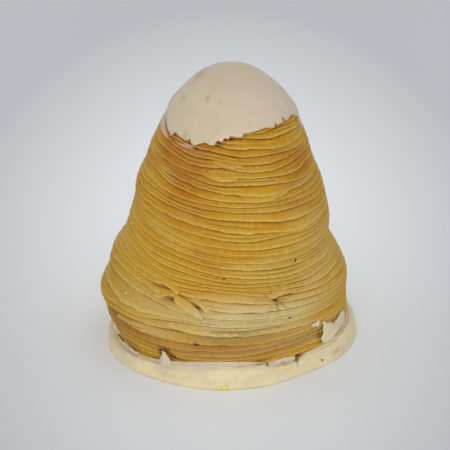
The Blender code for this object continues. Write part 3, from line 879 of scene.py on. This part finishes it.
def glaze_cap():
    angle = front_columns(CAP_COLUMNS)[:-1]
    edge = share_at_height(cap_edge(angle))
    climb, out = (np.array(CAP_RIM).T * MM)[:, :, None]
    window = np.hanning(CAP_SMOOTHING) / np.hanning(CAP_SMOOTHING).sum()
    beside = CAP_SMOOTHING // 2
    calm_edge = np.convolve(np.concatenate([edge[-beside:], edge, edge[:beside]]), window, "valid")
    rim = edge + climb / SIDE_LENGTH
    rim[-CAP_CALM_ROWS:] = calm_edge + climb[-CAP_CALM_ROWS:] / SIDE_LENGTH
    rim[2:] = np.maximum.accumulate(rim[2:], axis=0)
    lining = np.array(CAP_LINING)
    steps = np.linspace(0.0, 1.0, CAP_ROWS + 1)[1:, None]
    shares = np.vstack([rim[0] + (1.0 - rim[0]) * lining, rim, rim[-1] + (CAP_TOP - rim[-1]) * steps])
    inside, outside = np.full(lining.shape, out[0, 0]), np.full((CAP_ROWS, 1), CAP_PROUD)
    outs = np.vstack([inside, out, outside]) + 0.0 * shares

    heights = outline_at(shares)[0]
    # The stains here include the painted shade on the cap's top.
    stains_and_top_shade = spots(CAP_STAINS_AND_TOP_SHADE, heights, angle)
    outer = np.arange(len(shares))[:, None] >= len(lining) + CAP_INNER_ROWS
    dents = lumpy(bell_point(shares, angle, 0.0 * shares), CAP_WAVES)
    dents = dents - CAP_FLAT * smooth_step((shares - CAP_FLAT_FROM) / CAP_FLAT_FADE)
    outs = outs + outer * (dents - STAIN_DEPTH * np.clip(stains_and_top_shade, 0, 0.6))
    points, faces = ringed(bell_point(shares, angle, outs))
    from_edge = (shares - edge) * SIDE_LENGTH
    white = 0.4 - 0.45 * smooth_step(1.0 - from_edge / CAP_EDGE_WHITE)
    masks = {
        "cream": with_ends(white + spots(CAP_CREAM, heights, angle)),
        "stain_and_shade": with_ends(stains_and_top_shade),
        "thin": with_ends(0.3 * smooth_step(1.0 - from_edge / CAP_EDGE_THIN)),
    }
    piece = make_piece("glaze_over_tip", points, faces, GLAZE, masks)
    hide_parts("glaze_cap")


glaze_cap()

# The glaze foot: the pastry was set down in more of the same glaze. It spread into a thick rounded
# puddle under it, climbed its side unevenly, and is creamier below and whiter where it thins out.
FOOT_COLUMNS = 480
FOOT_UNDERCUT = 0.4 * MM
FOOT_BULGE = 1.8 * MM
FOOT_TURNS = 26
FOOT_SHOULDER = 1.2
FOOT_SINK = 0.45 * MM
# The rounded lower edge: its share of the undercut, and its share of the bulge's height.
FOOT_EDGE = [(1.0, 0.0), (0.45, 0.12), (0.14, 0.45)]
# From the shoulder up onto the dough: out from the bell and up from the foot's top, in mm.
FOOT_FILLET = [(0.5, -0.25), (0.36, 0.15), (0.28, 0.6), (0.2, 1.0), (0.0, 1.2), (-0.5, 1.1), (-1.0, 0.2)]
# Brown stains on the glaze of the foot, and thin lines of painted shade in the gaps where its top meets
# the dough.
FOOT_STAINS_AND_GAP_SHADE = [
    (-27, 2.7, 3, 0.9, 0.5), (-9, 9.6, 1.6, 0.6, 0.7), (20, 3.2, 2.5, 0.8, 0.5),
    (-54, 4.6, 0.7, 1.3, 0.7), (-54.2, 5.9, 1.6, 0.6, 2), (-51.5, 6.4, 2, 0.35, 1.2),
    (-61.5, 5.7, 5, 0.2, 1.2), (-73.5, 7.7, 4.5, 0.28, 1.4), (-84, 7.7, 2.5, 0.2, 0.8),
    (-20, 7.6, 12, 0.7, 0.5), (-146, 5.6, 6, 0.3, 1.3), (-152, 7.4, 2, 0.8, 1.5),
    (-132, 5.6, 14, 0.5, 0.5), (150, 2.5, 4, 1, 0.4),
]
# Where the top of the glaze is whiter and a little pink.
PINK_FILM = [
    (-98, 8.2, 26, 1.9, 1), (-70, 7.4, 14, 1.5, 0.8), (-122, 6.2, 6, 2.6, 0.9), (10, 8.4, 20, 3, 0.7),
]
# Lumps in its side, as depth and size, which draw it back and fade towards the table and the dough.
FOOT_LUMPS = [(0.5 * MM, 6 * MM), (0.2 * MM, 2.4 * MM)]
FOOT_DRAWN_BACK = 0.5 * MM
FOOT_LUMPS_LOW = 2.0 * MM
FOOT_LUMPS_HIGH = 2.2 * MM
FOOT_LUMPY_ROWS = slice(4, 8 + FOOT_TURNS)


def foot_lines(angle):
    """The foot's top on the dough in each direction, the way out there, and its reach at both ends."""
    top = foot_top(angle)
    out_at_top = bell_point(share_at_height(top), angle, FOOT_SINK + 0.0 * angle)
    far = np.hypot(out_at_top[..., 0], out_at_top[..., 1])
    ray = out_at_top[..., :2] / far[..., None]
    reach = np.maximum(lobed(FOOT_REACH, FOOT_LOBES, np.arctan2(ray[..., 1], ray[..., 0])), far + FOOT_RIM)
    return top, ray, far, reach


def glaze_foot():
    angle = front_columns(FOOT_COLUMNS)[:-1]
    top, ray, far, reach = foot_lines(angle)

    def level_ring(reach_now, height):
        return np.column_stack([ray * reach_now[:, None], height + 0.0 * angle])

    def ring_on_dough(height, out):
        return bell_point(share_at_height(height + 0.0 * angle), angle, out + 0.0 * angle)

    rings = [level_ring(share * reach, 0.0) for share in (0.2, 0.6)]
    rings += [level_ring(reach - inward * FOOT_UNDERCUT, up * FOOT_BULGE) for inward, up in FOOT_EDGE]
    for turn in np.linspace(0.0, 0.5 * math.pi, FOOT_TURNS, endpoint=False):
        spread = far + (reach - far) * math.cos(turn) ** FOOT_SHOULDER
        rings.append(level_ring(spread, FOOT_BULGE + (top - FOOT_BULGE) * math.sin(turn)))
    rings += [ring_on_dough(top + climb * MM, out * MM) for out, climb in FOOT_FILLET]
    rings.append(ring_on_dough(2.0 * MM, -1.0 * MM))
    rings = np.array(rings)

    side = rings[FOOT_LUMPY_ROWS]
    fade = smooth_step(side[..., 2] / FOOT_LUMPS_LOW)
    fade = fade * (0.1 + 0.9 * smooth_step((top - side[..., 2]) / FOOT_LUMPS_HIGH))
    side[..., :2] += ray * ((lumpy(side, FOOT_LUMPS) - FOOT_DRAWN_BACK) * fade)[..., None]
    heights = rings[..., 2]
    points, faces = ringed(rings)
    masks = {
        "cream": with_ends(0.3 + 0.0 * heights),
        "puddle": with_ends(0.95 - spots(PINK_FILM, heights, angle)),
        "stain_and_shade": with_ends(spots(FOOT_STAINS_AND_GAP_SHADE, heights, angle)),
        "thin": with_ends(0.35 * smooth_step((heights - top) / MM)),
    }
    piece = make_piece("glaze_puddle", points, faces, GLAZE, masks)
    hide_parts("glaze_foot")


glaze_foot()

# The splash and the smears: drips of the same glaze that set as thin, ragged skins on the dough. The
# splash low on the right has lifted at its lower edge. Each line is direction, height and lift in mm.
SPLASH_LOWER = [
    (-37.4, 8.6, 0.9), (-34.6, 8.1, 1), (-31, 8, 0.9), (-27, 8.6, 0.8), (-23.7, 9, 0.8),
    (-21.1, 9.5, 0.7), (-18.3, 10, 0.7), (-16.4, 11.2, 0.6), (-14.6, 12, 0.5), (-13.8, 13, 0.3),
]
SPLASH_UPPER = [
    (-37.9, 9, 0.9), (-38.6, 10.2, 1), (-36.2, 11.2, 0.8), (-36.2, 13.6, 0.7), (-37.2, 15.6, 0.6),
    (-33.2, 14.6, 0.4), (-28.2, 12.6, 0.3), (-24.6, 12.6, 0.3), (-20.9, 13.5, 0.3), (-15.6, 14, 0.2),
]
SMEARS = {
    "smear_splash_bit": (
        [(-44, 15.6, 0), (-41, 14.9, 0.4), (-38.9, 14.6, 0.4)],
        [(-43.6, 16.2, 0), (-41, 16.6, 0.3), (-38.6, 16.8, 0.2)],
    ),
    "smear_front": (
        [(-70, 6.7, 0.3), (-64, 6.7, 0.6), (-59, 6.5, 0.7), (-55.2, 6.3, 0.5)],
        [(-70, 7.3, 0.2), (-64, 7.9, 0.3), (-59, 7.8, 0.3), (-55.4, 7.3, 0.3)],
    ),
    "smear_middle": (
        [(-77.5, 6.8, 0.3), (-74.5, 6.2, 0.7), (-72, 6.4, 0.5)],
        [(-77, 7.4, 0.2), (-74.5, 7.4, 0.5), (-72, 7.1, 0.3)],
    ),
    "smear_line": (
        [(-96, 7.6, 0.3), (-92, 7.3, 0.6), (-88, 7.3, 0.6), (-84, 7.4, 0.3)],
        [(-96, 8, 0.3), (-92, 7.9, 0.5), (-88, 7.9, 0.5), (-84, 7.8, 0.3)],
    ),
    "smear_left": (
        [(-149, 6.7, 0.3), (-145, 6.3, 0.6), (-141, 6, 0.6), (-137, 5.7, 0.3)],
        [(-149, 7, 0.3), (-145.5, 6.7, 0.5), (-141.5, 6.5, 0.5), (-137, 6, 0.3)],
    ),
    "smear_sliver": (
        [(-156, 12.2, 0.3), (-154, 10.6, 0.5), (-152.4, 9.3, 0.5), (-151.8, 8.6, 0.3)],
        [(-155.8, 12.5, 0.3), (-153.6, 10.9, 0.5), (-152, 9.6, 0.5), (-151.6, 8.8, 0.3)],
    ),
    "smear_spike": (
        [(-125.4, 5.2, 0.3), (-122.6, 4.9, 0.6), (-119, 5.1, 0.6), (-115.8, 5.6, 0.3)],
        [(-120.2, 10, 0.3), (-120, 10.7, 0.3), (-119.7, 10.7, 0.3), (-119.5, 10, 0.3)],
    ),
    "smear_back": (
        [(92, 9, 0.1), (100, 7.8, 0.4), (110, 7.2, 0.4), (118, 8, 0.1)],
        [(91, 10, 0.1), (101, 12.4, 0.2), (109, 10.4, 0.2), (118, 9.2, 0.1)],
    ),
}
SPLASH_LOOK = {"cream": 0.6, "puddle": 0.55}
SMEAR_LOOK = {"cream": 0.2, "puddle": 0.35}
SKIN_ROWS = 14
SKIN_STEPS = 10
# How ragged a skin's outline is: round in degrees and up in mm, how much less if it is crisp, and the
# lumps in its face in mm. Then the sizes of that unevenness.
RAGGED_ROUND = 1.1
RAGGED_UP = 0.5
CRISP_SHARE = 0.35
SKIN_LUMPS = 0.12
RAGGED_SIZE = 2.2 * MM
SKIN_LUMP_SIZE = 2.0 * MM


def skin(name, lower, upper, swell, thick, material, slot, masks, crisp=False):
    """A thin closed skin on the bell between two lines, swollen in its middle unless it is crisp."""
    low, high = through(lower, SKIN_STEPS), through(upper, SKIN_STEPS)
    across = np.linspace(0.0, 1.0, SKIN_ROWS)[:, None]
    along = np.linspace(0.0, 1.0, len(low))[None, :]
    direction, height, lift = np.moveaxis(low + (high - low) * across[..., None], -1, 0)
    round_off = (1 - abs(2 * across - 1) ** 3) ** 0.5 * (1 - abs(2 * along - 1) ** 5) ** 0.5
    ragged = CRISP_SHARE if crisp else 1.0
    smooth = bell_point(share_at_height(height * MM), np.radians(direction), 0.0 * height)
    direction = direction + ragged * RAGGED_ROUND * uneven(smooth + 0.3, RAGGED_SIZE, 3)
    height = height + ragged * RAGGED_UP * uneven(smooth + 0.6, SKIN_LUMP_SIZE, 3)
    top = lift + swell * round_off + SKIN_LUMPS * uneven(smooth, SKIN_LUMP_SIZE)
    depth = thick if crisp else thick * (0.3 + 0.7 * round_off)
    angles = np.radians(direction)
    shares = share_at_height(height * MM)
    sheets = [bell_point(shares, angles, out * MM) for out in (top, top - depth)]
    points = np.vstack([sheet.reshape(-1, 3) for sheet in sheets])

    number = np.arange(direction.size).reshape(direction.shape)
    rim = np.concatenate([number[0, :-1], number[:-1, -1], number[-1, :0:-1], number[:0:-1, 0]])
    side = np.stack([rim, rim + number.size, np.roll(rim, -1) + number.size, np.roll(rim, -1)], -1)
    faces = quads(number).tolist() + (quads(number)[:, ::-1] + number.size).tolist() + side.tolist()
    masks = {mask: np.full(len(points), value, float) for mask, value in masks.items()}
    if slot == "laminated_dough":
        # A dough flake's free edge is painted lighter, a pale cut edge with a painted highlight, and its
        # underside is painted darker as painted shade.
        masks["edge"] = np.tile(((1 - across) ** 4 + 0.0 * along).ravel(), 2)
        masks["crease"] = np.repeat([0.0, 0.9], number.size)
        masks["toast"] = np.tile(spots(TOASTS, height * MM, angles).ravel(), 2)
        masks["pale"] = np.tile(spots(PALES, height * MM, angles).ravel(), 2)
        masks["strip"] = points * [300.0, 300.0, 1000.0]
    return make_piece(name, points, faces, material, masks)


splash = skin("splash", SPLASH_LOWER, SPLASH_UPPER, 0.35, 0.8, GLAZE, "white_glaze", SPLASH_LOOK)
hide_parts("glaze_splash")
for smear, (lower, upper) in SMEARS.items():
    skin(smear, lower, upper, 0.22, 0.7, GLAZE, "white_glaze", SMEAR_LOOK)

# The torn flakes: thin flaps of the dough sheet that lifted and curled as it baked, low on the left
# and on the right. The first line is the free edge, the second stays tucked under the turn above.
FLAKES = {
    "flake_upper": (
        [(-131, 31.5, -0.1), (-127, 31.5, 0.5), (-123, 31.7, 0.8), (-119, 31, 0.9), (-114, 29.6, 0.7)],
        [(-131, 33.6, -0.6), (-127, 34, -0.5), (-123, 34.2, -0.5), (-119, 33.4, -0.5),
         (-112.5, 31.4, -0.5)],
    ),
    "flake_curled": (
        [(-131, 28.2, -0.1), (-127, 27.5, 0.5), (-123.2, 27.1, 1.3), (-120.2, 28.3, 1.7),
         (-117.6, 28.9, 1.5), (-114.6, 28.7, 0.8)],
        [(-131, 30.2, -0.5), (-127, 30.6, -0.3), (-123, 30.6, 0.1), (-120, 30.6, 0.3),
         (-117.6, 30.4, 0.2), (-113.8, 29.9, 0.2)],
    ),
    "flake_folded": (
        [(-115.6, 28.2, 0.9), (-114.6, 27, 1.2), (-110.8, 25.6, 1.1), (-106.8, 24.3, 0.9),
         (-102, 22.8, 0.2)],
        [(-114, 29.8, 0.7), (-112.4, 29.2, 0.9), (-108.6, 28.2, 0.9), (-104.8, 26.4, 0.7),
         (-101, 23.6, 0.1)],
    ),
    "flake_behind_slit": (
        [(-107, 28.3, 0.2), (-104.6, 27.8, 0.5), (-102.2, 26.4, 0.5), (-100, 24.6, 0.1)],
        [(-106, 29.8, -0.4), (-102.6, 29.2, -0.3), (-99.6, 27.6, -0.4), (-97.6, 25.6, -0.5)],
    ),
    "flake_right": (
        [(-68.6, 29, -0.1), (-66.2, 28.4, 0.5), (-63.4, 28.9, 0.8), (-58.5, 29.2, 0.8), (-53, 28.6, 0.1)],
        [(-68.6, 30.4, -0.6), (-66, 30.6, -0.5), (-63, 30.8, -0.5), (-58.5, 30.8, -0.5), (-52, 30, -0.6)],
    ),
    "flake_lens": (
        [(-114, 66.4, -0.9), (-105, 65, 0.3), (-96, 64.2, 0.4), (-88, 64.4, 0.4), (-79, 65.8, -0.9)],
        [(-113, 67.4, -0.8), (-105, 68, -0.8), (-96, 68, -0.8), (-88, 67.8, -0.8), (-80, 67.2, -0.8)],
    ),
    "flake_crumple": (
        [(-108, 69.8, -0.9), (-101, 68.9, 0.3), (-94, 68.3, 0.4), (-86, 68, 0.3), (-77, 68.4, -0.9)],
        [(-107, 71, -0.8), (-101, 71.4, -0.8), (-94, 71.4, -0.8), (-86, 71, -0.8), (-78, 70.6, -0.8)],
    ),
    "flake_middle": (
        [(-84, 58.8, -0.9), (-75, 58, 0.3), (-64, 57.8, 0.35), (-52, 58.6, 0.3), (-42, 59.8, -0.9)],
        [(-83, 60.4, -0.8), (-75, 60.6, -0.8), (-64, 60.6, -0.8), (-53, 61, -0.8), (-43, 61.6, -0.8)],
    ),
    "flake_low": (
        [(-122, 20.3, -0.9), (-112, 19, 0.25), (-100, 18.2, 0.3), (-86, 18, 0.25), (-74, 18.4, -0.9)],
        [(-121, 22.2, -0.8), (-112, 21.6, -0.8), (-100, 21, -0.8), (-86, 20.6, -0.8), (-75, 20.6, -0.8)],
    ),
    "flake_back": (
        [(38, 33, 0), (44, 32, 1), (50, 31.6, 1.5), (57, 32.6, 0.4)],
        [(37, 35, -0.7), (44, 35.4, -0.7), (50, 35.2, -0.7), (58, 34.6, -0.7)],
    ),
}
for flake, (lower, upper) in FLAKES.items():
    skin(flake, lower, upper, 0.0, 0.26, DOUGH, "laminated_dough", {}, crisp=True)

# The specks: burnt bits in the dough, crumbs of dried glaze, and a yellow crumb stuck to the foot.
# Each is a direction, a height, a length, a breadth and a thickness in mm, and a turn in degrees.
BURNT_SPECKS = [
    (-48.4, 37.6, 1.3, 0.75, 0.7, 50), (-58.4, 21.4, 0.9, 1, 0.7, 30), (-103, 14.6, 1.9, 0.75, 0.7, -12),
    (-91.3, 35.7, 0.6, 0.5, 0.5, 0), (-94.5, 36.2, 0.4, 0.35, 0.4, 0), (20, 46, 0.9, 0.5, 0.4, 10),
    (95, 30, 1.1, 0.6, 0.4, 0), (160, 52, 0.8, 0.5, 0.4, 0),
]
GLAZE_CRUMBS = [
    (-146.9, 24.1, 1.3, 0.8, 0.5, 20), (-70.6, 67.9, 0.5, 0.4, 0.3, 0), (-56, 62.7, 0.6, 0.4, 0.3, 0),
    (-55.6, 42.1, 0.8, 0.35, 0.3, -50),
]
# On the foot each is a direction and a height, then how wide, tall and thick it is in mm.
YELLOW_CRUMBS = [(-91, 0.9, 2.1, 1.1, 0.9), (-93.5, 0.7, 1.0, 0.7, 0.6)]
FOOT_SPECKS = [(-38, 2.4, 0.8, 0.4, 0.5), (-71.0, 7.0, 0.6, 0.9, 0.7), (20, 3.0, 0.6, 0.5, 0.5)]
YELLOW = (0.75, 0.66, 0.05)
BURNT = (0.035, 0.012, 0.005)
LEAST_HEIGHT = 0.02 * MM


def lump(sizes, bumps, seed, bump_size):
    """The points and faces of a small bumpy lump with these sizes in mm."""
    ball = bmesh.new()
    bmesh.ops.create_icosphere(ball, subdivisions=2, radius=0.5)
    points = np.array([corner.co for corner in ball.verts])
    faces = [[corner.index for corner in face.verts] for face in ball.faces]
    ball.free()
    return points * (1.0 + bumps * uneven(points + seed, bump_size)[:, None]) * sizes * MM, faces


def lumps_piece(name, lumps, material, masks):
    """Several lumps as one piece."""
    points = np.vstack([lump_points for lump_points, _ in lumps])
    faces, start = [], 0
    for lump_points, lump_faces in lumps:
        faces += [[corner + start for corner in face] for face in lump_faces]
        start += len(lump_points)
    masks = {mask: np.full(len(points), value) for mask, value in masks.items()}
    return make_piece(name, points, faces, material, masks)


def specks(name, places, out, material, masks):
    """Small lumps that lie on the dough."""
    lumps = []
    for number, (direction, height, length, breadth, thick, turn) in enumerate(places):
        points, faces = lump((length, breadth, thick), 0.35, 7.3 * number, 0.45)
        cosine, sine = math.cos(math.radians(turn)), math.sin(math.radians(turn))
        side = points[:, 0] * cosine - points[:, 1] * sine
        rise = points[:, 0] * sine + points[:, 1] * cosine
        _, left, right, _ = outline_at(share_at_height(height * MM))
        angle = math.radians(direction) + side / (0.5 * (left + right))
        share = share_at_height(height * MM + rise)
        lumps.append((bell_point(share, angle, points[:, 2] + out * MM), faces))
    return lumps_piece(name, lumps, material, masks)


def foot_specks(name, places, material):
    """Small lumps that lie on the side of the foot: a direction, a height, then their size in mm."""
    lumps = []
    for number, (direction, height, *sizes) in enumerate(places):
        points, faces = lump(sizes, 0.5, 3.1 * number, 0.4)
        top, ray, far, reach = foot_lines(np.array(math.radians(direction)))
        turn = math.asin(min(max((height * MM - FOOT_BULGE) / (top - FOOT_BULGE), 0.0), 1.0))
        out = far + (reach - far) * math.cos(turn) ** FOOT_SHOULDER - 0.2 * MM + points[:, 2]
        x = out * ray[0] - points[:, 0] * ray[1]
        y = out * ray[1] + points[:, 0] * ray[0]
        z = np.maximum(height * MM + points[:, 1], LEAST_HEIGHT)
        lumps.append((np.column_stack([x, y, z]), faces))
    return lumps_piece(name, lumps, material, {})


def plain_material(name, colour, roughness):
    """One colour with a little cloudiness in it."""
    material, tree, shader = new_material(name)
    spotty = cloud(tree, add(tree, "ShaderNodeTexCoord").outputs["Object"], 1800.0, 2.0)
    clouded = lit(tree, colour, added(tree, 1.0, (spotty, 0.8)))
    tree.links.new(clouded, shader.inputs["Base Color"])
    shader.inputs["Roughness"].default_value = roughness
    return material


draw = random.Random(58)
for _ in range(16):
    size = draw.uniform(0.2, 0.42)
    place = (draw.uniform(-180, 180), draw.uniform(12, 72))
    GLAZE_CRUMBS.append((*place, size, size * draw.uniform(0.5, 1), 0.25, draw.uniform(0, 90)))
specks("burnt_specks", BURNT_SPECKS, -0.3, plain_material("burnt dough", BURNT, 0.5), {})
specks("glaze_crumbs", GLAZE_CRUMBS, 0.0, GLAZE, {"cream": 0.2})
foot_specks("yellow_crumb", YELLOW_CRUMBS, plain_material("yellow crumb", YELLOW, 0.5))
foot_specks("foot_specks", FOOT_SPECKS, plain_material("brown crumb", BURNT, 0.5))

# The floor and the light: a plain pale table with a painted pool of light round the pastry, so that it is
# greyer further from it, and a soft square light from the front that fills the creases, with pale light
# all round.
FLOOR_HALF = 2.5
FLOOR_LIGHT_POOL = (0.88, 0.885, 0.88)
FLOOR_FAR = (0.57, 0.572, 0.58)
LIGHT_POOL_MIDDLE = (0.0, 0.03, 0.0)
LIGHT_POOL_OVAL = (1.0, 0.45, 1.0)
LIGHT_POOL_EVEN = 0.038
LIGHT_POOL_FADE = 0.052
WORLD_LIGHT = (0.80, 0.83, 0.86)
LIGHT_PLACE = (-0.05, -1.5, 0.15)
LIGHT_SIZE = 0.9
LIGHT_POWER = 12.3
PASTRY_MIDDLE = Vector((0, 0, 45.0 * MM))


def floor():
    mesh = bpy.data.meshes.new("floor")
    corners = [(-1, -1, 0), (1, -1, 0), (1, 1, 0), (-1, 1, 0)]
    mesh.from_pydata([Vector(corner) * FLOOR_HALF for corner in corners], [], [(0, 1, 2, 3)])
    material, tree, shader = new_material("floor")
    oval = stretched(tree, add(tree, "ShaderNodeTexCoord").outputs["Object"], LIGHT_POOL_OVAL)
    inputs = {0: oval, 1: LIGHT_POOL_MIDDLE}
    far = add(tree, "ShaderNodeVectorMath", inputs, operation="DISTANCE").outputs["Value"]
    # A painted pool of light: the floor is paler near the pastry and fades to grey further out.
    share = calc(tree, "DIVIDE", calc(tree, "SUBTRACT", far, LIGHT_POOL_EVEN), LIGHT_POOL_FADE, clamp=True)
    tree.links.new(mixed(tree, share, FLOOR_LIGHT_POOL, FLOOR_FAR), shader.inputs["Base Color"])
    shader.inputs["Roughness"].default_value = 0.8
    mesh.materials.append(material)
    placed("floor", mesh)


def soft_light(name, place, size, power):
    """A square area light that faces the middle of the pastry."""
    data = bpy.data.lights.new(name, "AREA")
    data.size = size
    data.energy = power
    lamp = placed(name, data)
    lamp.location = place
    lamp.rotation_euler = (Vector(place) - PASTRY_MIDDLE).to_track_quat("Z", "Y").to_euler()


floor()
soft_light("front light", LIGHT_PLACE, LIGHT_SIZE, LIGHT_POWER)
world = bpy.data.worlds.new("studio")
world.use_nodes = True
world.node_tree.nodes["Background"].inputs["Color"].default_value = (*WORLD_LIGHT, 1.0)
world.node_tree.nodes["Background"].inputs["Strength"].default_value = 1.0
bpy.context.scene.world = world
bpy.context.scene.view_settings.view_transform = "Standard"

# The camera: it looks down on the front from about a metre away, through a long lens. It stands a
# little left of and below the middle of the pastry.
CAMERA_TILT = math.radians(26.5)
CAMERA_FAR = 952.0 * MM
CAMERA_LEFT = 0.91 * MM
CAMERA_LOW = 6.24 * MM
back = Vector((0, -math.cos(CAMERA_TILT), math.sin(CAMERA_TILT)))
up = Vector((0, math.sin(CAMERA_TILT), math.cos(CAMERA_TILT)))
camera = placed("camera", bpy.data.cameras.new("camera"))
camera.data.lens = 250
camera.data.sensor_width = 36
camera.data.clip_start = 0.01
camera.location = PASTRY_MIDDLE - Vector((CAMERA_LEFT, 0, 0)) - up * CAMERA_LOW + back * CAMERA_FAR
camera.rotation_euler = back.to_track_quat("Z", "Y").to_euler()
bpy.context.scene.camera = camera
